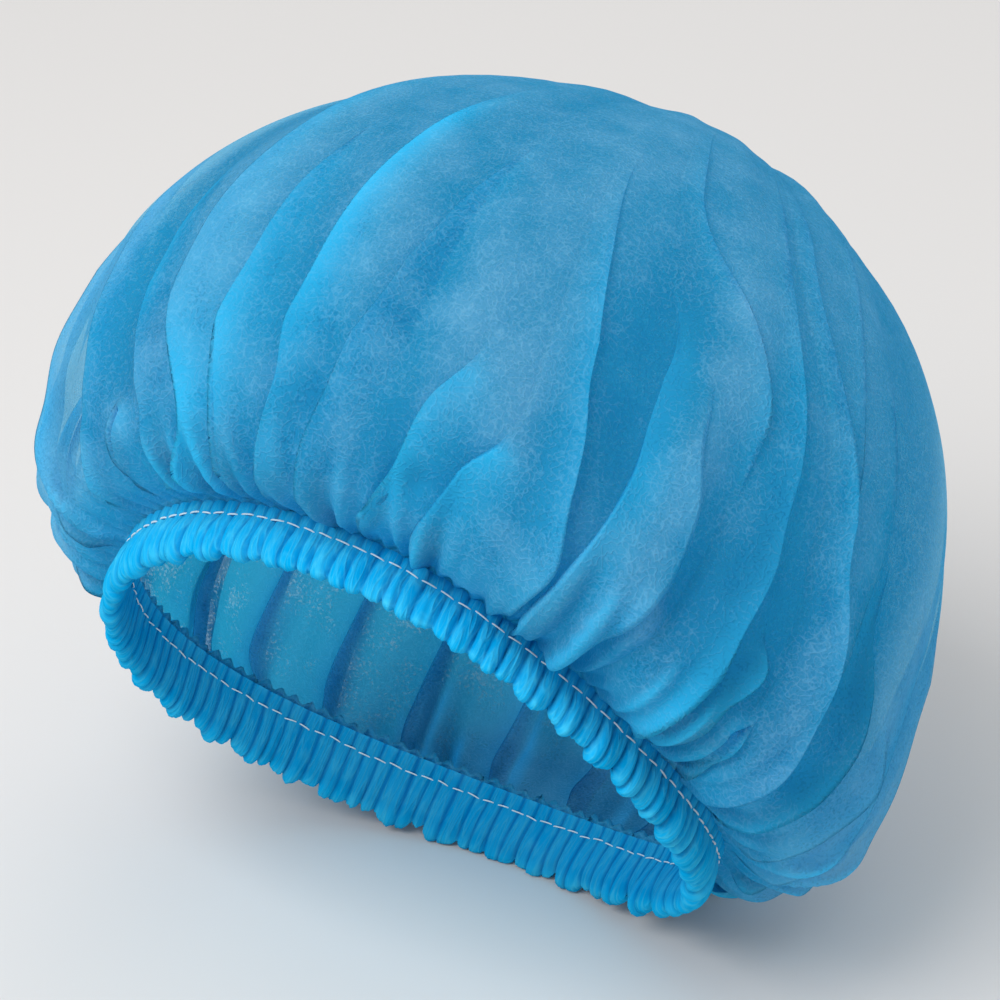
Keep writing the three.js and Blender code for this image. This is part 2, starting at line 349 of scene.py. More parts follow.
FOLD_LEVELS = (-88.0, -70.0, -50.0, -30.0, -10.0, 10.0, 30.0)
L, R = Lean.LEFT, Lean.RIGHT
FAR_FOLDS = (
    (384, 382, 380, 378, 378, 18), (396, 394, 393, 393, 393, 0), (408, 409, 408, 407, 407, 25),
    (420, 419, 420, 421, 420, 14), (432, 434, 433, 434, 434, 6), (444, 445, 447, 448, 448, 26),
    (456, 457, 460, 461, 461, 10), (468, 470, 471, 473, 473, 4), (480, 482, 484, 485, 485, 24),
    (492, 495, 497, 498, 498, 8), (504, 506, 509, 510, 510, 18), (518, 520, 522, 524, 524, 4),
    (536, 539, 542, 544, 545, 14),
)
FOLDS = (
    Fold((195, 201.5, 205.7, 206, 204, 201, 198), 4.5, 3.5, L, 5),
    Fold((204, 209, 211, 211, 209, 207, 205), 2.5, 2.0, L, -62),
    Fold((215, 218, 220, 219, 214.5, 211, 209), 4.0, 4.0, L, 2),
    Fold((222, 224.5, 227, 225.5, 223, 221.5, 220), 4.5, 5.0, L, 26),
    Fold((230, 231.5, 232.3, 232, 231, 230, 229), 4.0, 4.0, L, 8),
    Fold((236, 239.3, 240, 241.5, 240.5, 239.5, 239), 5.0, 5.0, L, 25),
    Fold((246, 246, 246.5, 248.5, 250, 251, 252), 5.5, 5.0, L, 12),
    Fold((252, 255, 257, 258, 260, 261, 261.5), 3.0, 2.5, L, -22),
    Fold((262, 262.5, 264.5, 266, 267, 265, 262.5), 3.5, 3.0, L, -40),
    Fold((272, 273, 275, 273, 272, 268, 264), 5.9, 2.4, R, 14),
    Fold((279, 279, 280.5, 282, 282.5, 281, 268), 4.5, 3.5, L, -2),
    Fold((284, 284, 286, 288, 287, 284, 271), 5.2, 2.0, R, -14),
    Fold((291, 291, 292, 293, 293, 291, 274), 5.2, 2.4, R, 34, -6),
    Fold((298, 297, 298, 298, 298.5, 296, 288), 7.8, 4.0, R, 30),
    Fold((303, 302.5, 303, 306, 304, 299, 289.5), 5.2, 2.8, R, -40),
    Fold((311, 308, 309, 310, 308, 302, 291), 3.9, 2.0, R, -66),
    Fold((318, 316, 315.5, 314, 311.5, 304, 293), 8.5, 4.4, R, 34),
    Fold((320, 318, 317.3, 316, 313, 306.5, 303), 4.5, 2.4, R, 38, -2),
    Fold((322, 320, 319.5, 318, 315, 316, 310), 4.5, 2.4, R, 16, -26),
    Fold((326, 323.5, 324.5, 324, 322, 320, 317), 5.9, 3.2, R, -14),
    Fold((338, 331.5, 332, 333, 332, 328, 322), 5.9, 3.2, R, -30),
    Fold((349, 345, 342, 340, 338, 336, 330), 5.2, 1.8, R, -5),
    Fold((361, 356, 352, 350, 348, 347, 346), 4.0, 1.8, R, 0),
    Fold((372, 370, 366, 364, 363, 362, 362), 4.5, 1.8, R, 22),
    *(Fold((*line, line[-1], line[-1]), 3.4, 2.6, L, head) for *line, head in FAR_FOLDS),
)


@dataclass(frozen=True)
class Hollow:
    """A soft dent of the crown, or a bulge where depth is below 0 (degrees and mm)."""

    angle: float
    up: float
    half_angle: float
    half_up: float
    depth: float

    def depth_at(self, angle: Array, up: Array) -> Array:
        """The move outward: -depth * exp(-(off / half_angle)^2 - ((up - middle) / half_up)^2).

        Args:
            angle: angle round the cap, in degrees.
            up: level in degrees.

        Returns:
            The move outward, in mm.
        """
        off = (angle - self.angle + FULL_TURN / 2) % FULL_TURN - FULL_TURN / 2
        nearness = -((off / self.half_angle) ** 2) - ((up - self.up) / self.half_up) ** 2
        return -self.depth * np.exp(nearness)


HOLLOWS = (
    Hollow(279, 6, 4.5, 14, 4.5),
    Hollow(292, -28, 4.5, 18, 4.5),
    Hollow(262, -12, 7.0, 16, -3.0),
    Hollow(307, -22, 4.0, 20, 4.0),
    Hollow(285, 20, 5.0, 10, -2.5),
    Hollow(257, -58, 4.0, 12, 3.0),
    Hollow(242, 8, 6.0, 14, -2.0),
    Hollow(322, -50, 4.0, 14, 3.0),
    Hollow(30, -10, 7.0, 16, 3.5),
    Hollow(65, 10, 8.0, 14, 3.0),
    Hollow(100, 25, 8.0, 12, 3.0),
    Hollow(140, 0, 7.0, 15, 3.5),
)


class Shading:
    """The nodes of one material: each method adds some and returns the socket to read."""

    def __init__(self, name: str) -> None:
        """Makes a material with no nodes yet."""
        self.material = bpy.data.materials.new(name)
        self.material.use_nodes = True
        self.tree = self.material.node_tree
        self.tree.nodes.clear()

    def add(
        self, kind: str, inputs: dict[str | int, object] | None = None, **settings: object
    ) -> bpy.types.Node:
        """Adds a node.

        Args:
            kind: the node's type, after the word ShaderNode.
            inputs: what goes into each input, by name or number: a socket is linked and any other
                value is set.
            settings: the node's own settings, made first because they can change its inputs.

        Returns:
            The node.
        """
        node = self.tree.nodes.new("ShaderNode" + kind)
        for name, value in settings.items():
            setattr(node, name, value)
        for key, value in (inputs or {}).items():
            if isinstance(value, Socket):
                self.tree.links.new(value, node.inputs[key])
            else:
                node.inputs[key].default_value = value
        return node

    def place(self) -> Socket:
        """The Object coordinates."""
        return self.add("TexCoord").outputs["Object"]

    def attribute(self, name: str) -> Socket:
        """The number that the piece stores under a name."""
        return self.add("Attribute", attribute_name=name).outputs["Fac"]

    def noise(self, where: Socket, scale: float, detail: float = 0.0) -> Socket:
        """Adds a noise, about 0.5 in the middle, with scale features to the metre."""
        inputs = {"Vector": where, "Scale": scale, "Detail": detail}
        return self.add("TexNoise", inputs).outputs["Fac"]

    def math(self, operation: str, *inputs: Socket | float, clamp: bool = False) -> Socket:
        """Adds a node that calculates with its inputs in order, held between 0 and 1 if clamp."""
        settings = {"operation": operation, "use_clamp": clamp}
        return self.add("Math", dict(enumerate(inputs)), **settings).outputs[0]

    def sum(self, terms: list[tuple[Socket, float]], start: float, clamp: bool = True) -> Socket:
        """Adds start and each term's socket times its weight.

        Args:
            terms: sockets and their weights.
            start: the constant part.
            clamp: whether the sum is held between 0 and 1.

        Returns:
            The socket of the sum.
        """
        total: Socket | float = start
        for place, (socket, weight) in enumerate(terms):
            last = place == len(terms) - 1
            total = self.math("MULTIPLY_ADD", socket, weight, total, clamp=clamp and last)
        return total

    def strokes(self, noise: Socket, width: float) -> Socket:
        """Turns a noise into thin winding strokes: 1 - |noise - 0.5| / width, not below 0."""
        away = self.math("ABSOLUTE", self.math("SUBTRACT", noise, 0.5))
        return self.sum([(away, -1.0 / width)], 1.0)

    def tint(self, share: Socket, low: Socket | Colour, high: Colour) -> Socket:
        """Mixes two colours by a share from 0 to 1."""
        inputs = {0: share, "A": low if isinstance(low, Socket) else (*low, 1), "B": (*high, 1)}
        return self.add("Mix", inputs, data_type="RGBA").outputs["Result"]

    def bump(self, height: Socket, strength: float, distance: float) -> Socket:
        """Gives the normal of a bumped surface; distance is in metres."""
        inputs = {"Height": height, "Strength": strength, "Distance": distance}
        return self.add("Bump", inputs).outputs["Normal"]

    def finish(self, surface: Socket) -> bpy.types.Material:
        """Sends a shader to the output and gives the material."""
        self.add("OutputMaterial", {"Surface": surface})
        return self.material


@dataclass(frozen=True)
class Nonwoven:
    """Thin spunbond cloth: see-through between its fibres, cloudy, with pale fibre strokes.

    cover is the share that isn't clear gap; cloud and speck vary it. stroke, fleece and a third
    weight pale the dye by the fibres, the clouds and the piece's stored frost with painted light,
    which below 0 darkens it as painted shade. The lap tone draws lapped cloth towards azure, and on
    the casing paints shade in rib valleys and on the inside with a deep navy azure; lap_shade cuts
    the light that comes through lapped cloth.
    """

    name: str
    dye: Colour = (0.021, 0.198, 0.338)
    pale: Colour = (0.25, 0.565, 0.735)
    azure: Colour = (0.028, 0.55, 0.98)
    glow: Colour = (0.030, 0.62, 1.0)
    tint: Colour = (0.62, 0.87, 0.96)
    cloud_scale: float = 88.0
    fibre_scale: float = 640.0
    hair_scale: float = 1150.0
    stroke_width: float = 0.10
    hair_share: float = 0.6
    speck_contrast: float = 5.0
    speck_start: float = -2.6
    cover: float = 0.93
    cloud: float = 0.6
    speck: float = 0.18
    paleness: float = 0.06
    stroke: float = 0.30
    fleece: float = 0.60
    frost: float = 0.60
    lap_or_shade_tone: float = 0.82
    grain: tuple[float, float] | None = None
    bump: float = 0.35
    bump_height: float = 0.0005
    through: float = 0.52
    lap_shade: float = 0.68

    def material(self) -> bpy.types.Material:
        """Builds the cloth's shader: clear gaps, and a dyed front mixed with light from behind.

        Returns:
            The material, which reads Object coordinates and the attributes cloth_share, the one for
            lapped cloth and painted shade, and the one for frost with painted light and shade.
        """
        nodes = Shading(self.name)
        where = nodes.place()
        lie = where if self.grain is None else self._along_cloth(nodes)
        lapped = nodes.attribute("lapped")
        cloud = nodes.noise(where, self.cloud_scale, detail=1.0)
        fibres = nodes.strokes(nodes.noise(lie, self.fibre_scale), self.stroke_width)
        fine = nodes.noise(lie, self.hair_scale)
        hairs = nodes.strokes(fine, self.stroke_width)
        # The stored frost brings in painted light and painted shade: on the crown, crests, the top
        # and the far wall paler, hollows darker.
        paleness = nodes.sum(
            [
                (fibres, self.stroke),
                (hairs, self.hair_share * self.stroke),
                (cloud, self.fleece),
                (nodes.attribute("frosted"), self.frost),
            ],
            self.paleness - 0.5 * self.fleece,
        )
        tone = nodes.tint(paleness, self.dye, self.pale)
        # Painted shade on the casing: rib valleys and the band's inside turn to a deep navy azure.
        colour = nodes.tint(nodes.sum([(lapped, self.lap_or_shade_tone)], 0.0), tone, self.azure)
        normal = nodes.bump(fibres, self.bump, self.bump_height)
        front = nodes.add("BsdfDiffuse", {"Color": colour, "Normal": normal})
        behind = nodes.add("BsdfTranslucent", {"Color": (*self.glow, 1)})
        through = nodes.sum([(lapped, -self.lap_shade * self.through)], self.through)
        cloth = nodes.add("MixShader", {"Fac": through, 1: front.outputs[0], 2: behind.outputs[0]})
        gap = nodes.add("BsdfTransparent", {"Color": (*self.tint, 1)})
        cover = self._cover(nodes, cloud, fine)
        whole = nodes.add("MixShader", {"Fac": cover, 1: gap.outputs[0], 2: cloth.outputs[0]})
        return nodes.finish(whole.outputs[0])

    def _cover(self, nodes: Shading, cloud: Socket, fine: Socket) -> Socket:
        """Works out how much of the cloth isn't clear gap.

        Args:
            nodes: the material's nodes.
            cloud: the noise of the clouds.
            fine: the finest noise.

        Returns:
            The cloth's share, times the piece's own cloth_share.
        """
        specks = nodes.sum([(fine, self.speck_contrast)], self.speck_start)
        start = self.cover - 0.5 * self.cloud
        even = nodes.sum([(cloud, self.cloud), (specks, -self.speck)], start)
        return nodes.math("MULTIPLY", even, nodes.attribute("cloth_share"), clamp=True)

    def _along_cloth(self, nodes: Shading) -> Socket:
        """The piece's UV map, in metres across and along the ribs, stretched by grain."""
        lie = nodes.add("UVMap", uv_map="cloth").outputs[0]
        return nodes.add("Mapping", {"Vector": lie, "Scale": (*self.grain, 1.0)}).outputs[0]


@dataclass(frozen=True)
class PlainFibre:
    """Thread or elastic: a Principled surface, tinted, roughened and bumped by one fine noise."""

    name: str
    colour: Colour
    roughness: float
    rib_scale: float
    sheen: float = 0.3
    grain_detail: float = 3.0
    dark_share: float = 0.72
    roughness_spread: float = 0.25
    roughness_dip: float = 0.12
    bump: float = 0.3
    bump_height: float = 0.0003

    def material(self) -> bpy.types.Material:
        """Builds the finish.

        Returns:
            The material, which reads Object coordinates.
        """
        nodes = Shading(self.name)
        grain = nodes.noise(nodes.place(), self.rib_scale, self.grain_detail)
        dark = tuple(self.dark_share * part for part in self.colour)
        start = self.roughness - self.roughness_dip
        inputs = {
            "Base Color": nodes.tint(grain, dark, self.colour),
            "Roughness": nodes.sum([(grain, self.roughness_spread)], start, clamp=False),
            "Normal": nodes.bump(grain, self.bump, self.bump_height),
            "Sheen Weight": self.sheen,
        }
        return nodes.finish(nodes.add("BsdfPrincipled", inputs).outputs[0])


@dataclass(frozen=True)
class Layers:
    """How folds move the cloth: the angle in radians, the moves sideways and outward in mm.

    veil is the share of its density that it keeps beside an edge, and lapped is how much of it lies
    in layers.
    """

    angle: Array
    sideways: Array
    outward: Array
    veil: Array
    lapped: Array


@dataclass
class Crown:
    """The puffed crown: one gathered sheet from the stitch line to a closed top, in lapped folds.

    Fades and windows whose names end in round work on the angle round the cap, and the others on
    the level, all in degrees. columns_in_fold holds the columns' places between two edges. A reach
    of two numbers grows with the fold: first + second * rise, for the edge, or * lap.
    """

    form: CapForm
    pose: CapPose
    finish: Nonwoven = field(default_factory=lambda: Nonwoven("crown nonwoven"))
    columns_in_fold: tuple[float, ...] = (
        0, 0.010, 0.024, 0.043, 0.068, 0.10, 0.14, 0.19, 0.25, 0.32, 0.39, 0.46,
        0.54, 0.61, 0.68, 0.75, 0.81, 0.86, 0.90, 0.932, 0.957, 0.976, 0.990,
    )  # fmt: skip
    row_spans: tuple[tuple[float, float, int], ...] = (
        (-98.0, NECK_UP, 4), (NECK_UP, -62.0, 34), (-62.0, 42.0, 56),
    )  # fmt: skip
    top_rows: tuple[float, float, int] = (42.0, 88.0, 14)
    floor_lift: float = 0.15
    tuck: float = 0.7
    probe: float = 0.2
    probe_limit: float = 89.5
    course_round: int = 9
    course_levels: tuple[float, float] = (-104.0, 100.0)
    beyond_level: float = 55.0
    beyond_share: float = 0.25
    crowding: Fade = Fade(-88.0, -72.0)
    foot_span: float = 14.0
    head_span: float = 22.0
    rise_by_band: Fade = Fade(-92.0, -74.0, 0.75, 1.0)
    rise_by_top: Fade = Fade(-25.0, 24.0, 1.0, 0.2)
    lap_by_band: Fade = Fade(-92.0, -74.0, 0.55, 1.0)
    lap_by_top: Fade = Fade(-30.0, 30.0, 1.0, 0.25)
    lap_size: float = 2.1
    lap_share: float = 0.46
    lap_under: float = 0.8
    lap_full: float = 2.5
    edge_reach: tuple[float, float] = (5.0, 0.6)
    edge_radius: float = 0.7
    root_place: float = 1.4
    root_width: float = 1.1
    root_dip: float = 0.12
    under_dip: float = 0.20
    under_dip_reach: float = 6.0
    under_reach: float = 4.5
    under_veil: float = 0.8
    veil_reach: tuple[float, float] = (1.9, 1.1)
    root_thinning: float = 0.9
    strip_reach: tuple[float, float] = (3.0, 0.72)
    strip_power: float = 1.4
    strip_right: float = 0.65
    strip_left: float = 0.80
    pleats: int = 112
    pleat_rise: float = 0.9
    pleat_fade: Fade = Fade(-88.0, -72.0, 1.0, 0.0)
    pucker_waves: Waves = Waves(3, 12, (38, 92), 1.0 / 30)
    pucker_rise: float = 1.1
    pucker_start: Fade = Fade(-92.0, -82.0)
    pucker_reach: float = -52.0
    pucker_far_reach: float = 46.0
    pucker_reach_spread: float = 12.0
    pucker_reach_waves: Waves = Waves(31, 6, (5, 30))
    pucker_ebb: Fade = Fade(-26.0, 15.6, 1.0, 0.0)
    pucker_far_round: Window = Window(10, 40, 165, 185)
    body: Window = Window(-80.0, -40.0, 60.0, 86.0)
    body_by_top: Fade = Fade(-5.0, 25.0, 1.0, 0.3)
    slow_waves: Waves = Waves(11, 12, (5, 18), 0.9 / 20)
    slow_rise: float = 1.5
    settle: float = 1.3
    crumple_waves: Waves = Waves(12, 14, (10, 40), 1.8 / 9)
    crumple_rise: float = 0.55
    far_round: Window = Window(15, 45, 140, 165)
    far_levels: Fade = Fade(-82.0, -62.0)
    thin_left_round: Window = Window(140, 160, 201, 206)
    thin_right_round: Window = Window(325, 336, 368, 386)
    thin_levels: Window = Window(-86, -60, 25, 55)
    thinness: float = 0.50
    ridge: Fade = Fade(0.55, 1.4)
    ridge_density: float = 0.4
    band_density: Fade = Fade(-90.0, -50.0, 0.35, 0.0)
    far_density: float = 0.16
    lapped_density: float = 0.45
    ridge_lapped: float = 0.5
    far_ridge_lapped: float = 0.5
    # Near the band: partly dense gathered cloth, partly painted light where the cloth faces down.
    band_lapped: Fade = Fade(-84.0, -44.0, 0.45, 0.0)
    patch_waves: Waves = Waves(5, 8, (4, 30), 1.5 / 25)
    patchiness: float = 0.2
    crest_levels: Fade = Fade(-74.0, -50.0)
    crest_height: float = 2.5
    # Painted light and shade: crests of the relief paler, hollows darker.
    crest_light_and_shade: float = 0.5
    # Painted light: the far wall's inside, seen through the mouth, paler.
    far_wall_light: float = 0.75
    # Painted light: paler towards the top.
    top_light: Fade = Fade(15.0, 60.0, 0.0, 0.22)

    def levels(self) -> Array:
        """The rows' levels in degrees, closest by the band."""
        spans = [np.linspace(*span, endpoint=False) for span in self.row_spans]
        return np.concatenate([*spans, np.linspace(*self.top_rows)])

    def courses(self, up: Array) -> Array:
        """The fold edges' angles at each level: the table's lines, eased by a bell-shaped average.

        Above the table an edge goes on in its last direction, more and more slowly.

        Args:
            up: levels in degrees, one for each row.

        Returns:
            Rows x folds, in degrees.
        """
        table = np.array([fold.course for fold in FOLDS], dtype=float)
        beyond = table[:, -1:] + self.beyond_share * (table[:, -1:] - table[:, -2:-1])
        levels, table = (*FOLD_LEVELS, self.beyond_level), np.concatenate([table, beyond], axis=1)
        fine = np.arange(*self.course_levels, 1.0)
        bell = np.hanning(2 * self.course_round + 3)[1:-1]
        lines = [np.interp(fine, levels, course) for course in table]
        padded = [np.pad(line, self.course_round, mode="edge") for line in lines]
        eased = [np.convolve(line, bell / bell.sum(), mode="valid") for line in padded]
        return np.stack([np.interp(up, fine, line) for line in eased], axis=-1)

    def points(self) -> tuple[Array, Array, Array, Array]:
        """Works out the sheet: the dome's point moved by its fold.

        Beside its edge a fold's cloth stands rise * exp(-d / reach) above the dome and lies
        lap * exp(-d / reach) towards the side it leans to, where d is the distance from the edge.
        On the leaning side the cloth turns back under the edge through a root that lies the other
        way, which makes three layers. Pleats by the band add pleat_rise * cos(pleats * angle), and
        slow waves crumple the whole.

        Returns:
            The points, rows x columns x 3 in metres, with the density, how lapped the cloth is,
            and its frost with painted light and painted shade.
        """
        ups = self.levels()
        layers = self._layers(ups)
        up = np.broadcast_to(ups[:, None], layers.angle.shape)
        dome = self.form.dome(layers.angle, up)
        spot = layers.angle + layers.sideways / np.hypot(dome[..., 0], dome[..., 1])
        crumple = self._crumple(spot, up)
        point = self._moved(dome, layers, up, layers.outward + crumple)
        return self.pose.lay(point, self.floor_lift), *self._tones(layers, spot, up, crumple)

    def _layers(self, ups: Array) -> Layers:
        """Works out what the folds do to the cloth.

        Within a fold the share runs from 0 at its own edge to 1 at the next one.

        Args:
            ups: the rows' levels in degrees.

        Returns:
            The layers, rows x columns.
        """
        edges = self.courses(ups)
        even = np.arange(len(self.columns_in_fold)) / len(self.columns_in_fold)
        crowded = self.crowding.at(ups)[:, None]
        share = blend(even, np.array(self.columns_in_fold), crowded)[:, None, :]
        start = edges[:, :, None]
        end = np.concatenate([edges[:, 1:], edges[:, :1] + FULL_TURN], axis=1)[:, :, None]
        pitch = end - start
        width = self._radius(ups)[:, None, None] * np.radians(pitch)
        rise, lap, side = self._fold_sizes(ups[:, None], width[..., 0])
        here = self._beside(share * width, 1.0, rise, lap, side)
        rise, lap, side = (np.roll(size, -1, axis=1) for size in (rise, lap, side))
        there = self._beside((1 - share) * width, -1.0, rise, lap, side)
        found = (
            np.radians(start + pitch * share),
            here[0] + there[0],
            here[1] + there[1],
            np.minimum(here[2], there[2]),
            np.maximum(here[3], there[3]),
        )
        return Layers(*(values.reshape(len(ups), -1) for values in found))

    def _radius(self, ups: Array) -> Array:
        """The dome's mean distance from its own axis at each level, in mm."""
        dome = self.form.dome(np.radians(np.arange(0.0, FULL_TURN, 10.0))[None, :], ups[:, None])
        return np.hypot(dome[..., 0], dome[..., 1]).mean(axis=1)

    def _fold_sizes(self, level: Array, width: Array) -> tuple[Array, Array, Array]:
        """Gives each fold's sizes at each level.

        Args:
            level: rows x 1, in degrees.
            width: rows x folds, the cloth's width from each edge to the next, in mm.

        Returns:
            The edge's height, how far it lies over its neighbour, and -1 where it leans to lower
            angles or 1 where to higher ones, all with a last axis of 1.
        """
        rise, lap, side, foot, head = np.array(
            [(fold.rise, fold.lap, fold.lean.value, fold.foot, fold.head) for fold in FOLDS]
        ).T
        full = smooth_step((level - foot) / self.foot_span, 0.0, 1.0)
        full = full * (1 - smooth_step((level - head) / self.head_span, 0.0, 1.0))
        rise = rise * full * self.rise_by_band.at(level) * self.rise_by_top.at(level)
        lap = self.lap_size * lap * full * self.lap_by_band.at(level) * self.lap_by_top.at(level)
        room = np.minimum(width, np.roll(width, 1, axis=1))
        lap = np.minimum(lap, self.lap_share * room)
        return rise[..., None], lap[..., None], side[None, :, None]

    def _beside(
        self, distance: Array, way: float, rise: Array, lap: Array, side: Array
    ) -> tuple[Array, ...]:
        """How the cloth beside an edge moves, in mm, and how dense it is.

        The two layers under an edge thin out towards their root, so that the shade of the lap
        fades there.

        Args:
            distance: distance from the edge, in mm.
            way: 1 for the cloth after the edge and -1 for the cloth before it.
            rise: the edge's height.
            lap: how far the edge lies over its neighbour.
            side: -1 where the edge leans to lower angles and 1 where it leans to higher ones.

        Returns:
            The moves sideways and outward, the density's share and how lapped the cloth is.
        """
        top = side * way < 0
        decay = np.exp(-distance / (self.edge_reach[0] + self.edge_reach[1] * rise))
        turn = np.exp(-((distance / self.edge_radius) ** 2))
        root = np.exp(-(((distance - self.root_place) / self.root_width) ** 2))
        over = side * lap
        back = self.lap_under * (1 - turn) * np.exp(-distance / self.under_reach)
        sideways = np.where(top, over * decay, over * (turn - back))
        dip = self.under_dip * (1 - turn) * np.exp(-distance / self.under_dip_reach)
        outward = np.where(top, rise * decay, rise * (turn - self.root_dip * root - dip))
        strength = np.clip(lap / self.lap_full, 0, 1)
        opened = self.veil_reach[0] + self.veil_reach[1] * lap
        fading = smooth_step(distance, self.root_place, opened)
        under = np.where(distance < self.root_place, turn, blend(self.under_veil, 1.0, fading))
        veil = np.where(top, 1.0, 1 - self.root_thinning * strength * (1 - under))
        reach = self.strip_reach[0] + self.strip_reach[1] * lap
        strip = np.where(top, np.exp(-((distance / reach) ** self.strip_power)), turn)
        shown = np.where(side > 0, self.strip_right, self.strip_left)
        return sideways, outward, veil, strip * strength * shown

    def _moved(self, dome: Array, layers: Layers, up: Array, outward: Array) -> Array:
        """Moves the dome's points along the dome and away from it.

        The two directions come from the dome's points a probe's step round and up. Below the neck
        the cloth sinks into the header and follows its taper.

        Args:
            dome: the dome's points.
            layers: the angles and the moves sideways.
            up: level in degrees.
            outward: the moves outward, in mm.

        Returns:
            The moved points, in mm.
        """
        angle, step = layers.angle, self.probe
        around = self.form.dome(angle + math.radians(step), up) - dome
        middle = np.clip(up, -self.probe_limit, self.probe_limit)
        along = self.form.dome(angle, middle + step) - self.form.dome(angle, middle - step)
        around = around / np.linalg.norm(around, axis=-1, keepdims=True)
        normal = np.cross(around, along)
        normal = normal / np.linalg.norm(normal, axis=-1, keepdims=True)
        moved = dome + normal * outward[..., None] + around * layers.sideways[..., None]
        neck = np.full(up.shape, self.form.neck_level)
        sunk = neck - self.tuck * np.maximum(NECK_UP - up, 0) / self.form.casing_height
        return moved + self.form.band(angle, sunk, 0.0) - self.form.band(angle, neck, 0.0)

    def _tones(
        self, layers: Layers, spot: Array, up: Array, crumple: Array
    ) -> tuple[Array, Array, Array]:
        """Works out what the material reads.

        Args:
            layers: what the folds do to the cloth.
            spot: the angle at which the cloth lies, in radians.
            up: level in degrees.
            crumple: the soft relief, in mm.

        Returns:
            The density, how lapped the cloth is, and its frost with painted light and painted
            shade.
        """
        around = np.degrees(layers.angle) % FULL_TURN
        far = self.far_round.at(around)
        thin = self._thin(around, up)
        ridge = self.ridge.at(self._puckers(spot, up))
        gathered = self.band_density.at(up) + self.far_density * far + self.ridge_density * ridge
        density = (1 + gathered) * layers.veil * (1 - self.thinness * thin)
        lapped = layers.lapped + (self.ridge_lapped + self.far_ridge_lapped * far) * ridge
        patches = self.patch_waves.at(layers.angle, up)
        lapped = lapped * (1 - self.patchiness + self.patchiness * patches)
        # Near the band the colour is held towards azure: dense gathered cloth, and painted light on
        # the downward-facing shelf.
        lapped = np.clip(np.maximum(lapped, self.band_lapped.at(up)), 0, 1)
        crest = np.clip((crumple + self.settle) / self.crest_height, -1, 1)
        # Thin strips pale as single open cloth; painted light pales the far wall, seen from inside
        # through the mouth.
        frosted = thin + self.far_wall_light * far * self.far_levels.at(up)
        # Painted light and shade: the relief's crests paled, its hollows darkened.
        frosted = frosted + self.crest_light_and_shade * self.crest_levels.at(up) * crest
        # Painted light: the cloth paler towards the top.
        return density + self.lapped_density * lapped, lapped, frosted + self.top_light.at(up)

    def _puckers(self, spot: Array, up: Array) -> Array:
        """Irregular small folds that start at the header and fade above it, as a sum of waves.

        Args:
            spot: the angle at which the cloth lies, in radians.
            up: level in degrees.

        Returns:
            The folds' height, about 1 on a ridge.
        """
        far = self.pucker_far_round.at(np.degrees(spot) % FULL_TURN)
        reach = self.pucker_reach + self.pucker_far_reach * far
        reach = reach + self.pucker_reach_spread * self.pucker_reach_waves.at(spot, up)
        fade = self.pucker_start.at(up) * self.pucker_ebb.at(up - reach)
        return fade * self.pucker_waves.at(spot, up)

    def _crumple(self, spot: Array, up: Array) -> Array:
        """The soft relief besides the folds: pleats, puckers, hollows and slow waves.

        It is read where the cloth lies, so that the layers of a lap move together and never cross.

        Args:
            spot: the angle at which the cloth lies, in radians.
            up: level in degrees.

        Returns:
            The move outward, in mm.
        """
        move = self.pleat_rise * self.pleat_fade.at(up) * np.cos(self.pleats * spot)
        move = move + self.pucker_rise * self._puckers(spot, up)
        body = self.body.at(up) * self.body_by_top.at(up)
        slow = self.slow_rise * self.slow_waves.at(spot, up) - self.settle
        move = move + body * (slow + self.crumple_rise * self.crumple_waves.at(spot, up))
        for hollow in HOLLOWS:
            move = move + hollow.depth_at(np.degrees(spot), up)
        return move

    def _thin(self, around: Array, up: Array) -> Array:
        """1 where the cloth is a single open layer, in strips beside the band's near side."""
        strips = self.thin_left_round.at(around) + self.thin_right_round.at(around)
        return np.clip(strips, 0, 1) * self.thin_levels.at(up)

    def build(self) -> Piece:
        """Makes the sheet, closes its top with a fan and puts it in the crown's place.

        Returns:
            The crown.
        """
        grid, density, lapped, frosted = self.points()
        rows, columns = grid.shape[:2]
        top = self.pose.lay(self.form.dome(np.zeros(1), np.full(1, TOP_UP)), self.floor_lift)
        points = np.concatenate([grid.reshape(-1, 3), top])
        numbers = point_numbers(rows, columns)
        last = numbers[-1]
        fan = np.stack([last[:-1], last[1:], np.full(columns, rows * columns)], axis=-1)
        piece = mesh_object("crown_cloth_sheet", points, grid_quads(numbers), fan)
        tones = {"lapped": np.append(lapped, 0.0), "frosted": np.append(frosted, 0.0)}
        set_attributes(piece, cloth_share=np.append(density, 1.0), **tones)
        piece.data.materials.append(self.finish.material())
        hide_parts("crown")
        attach(piece, "root")
        return piece


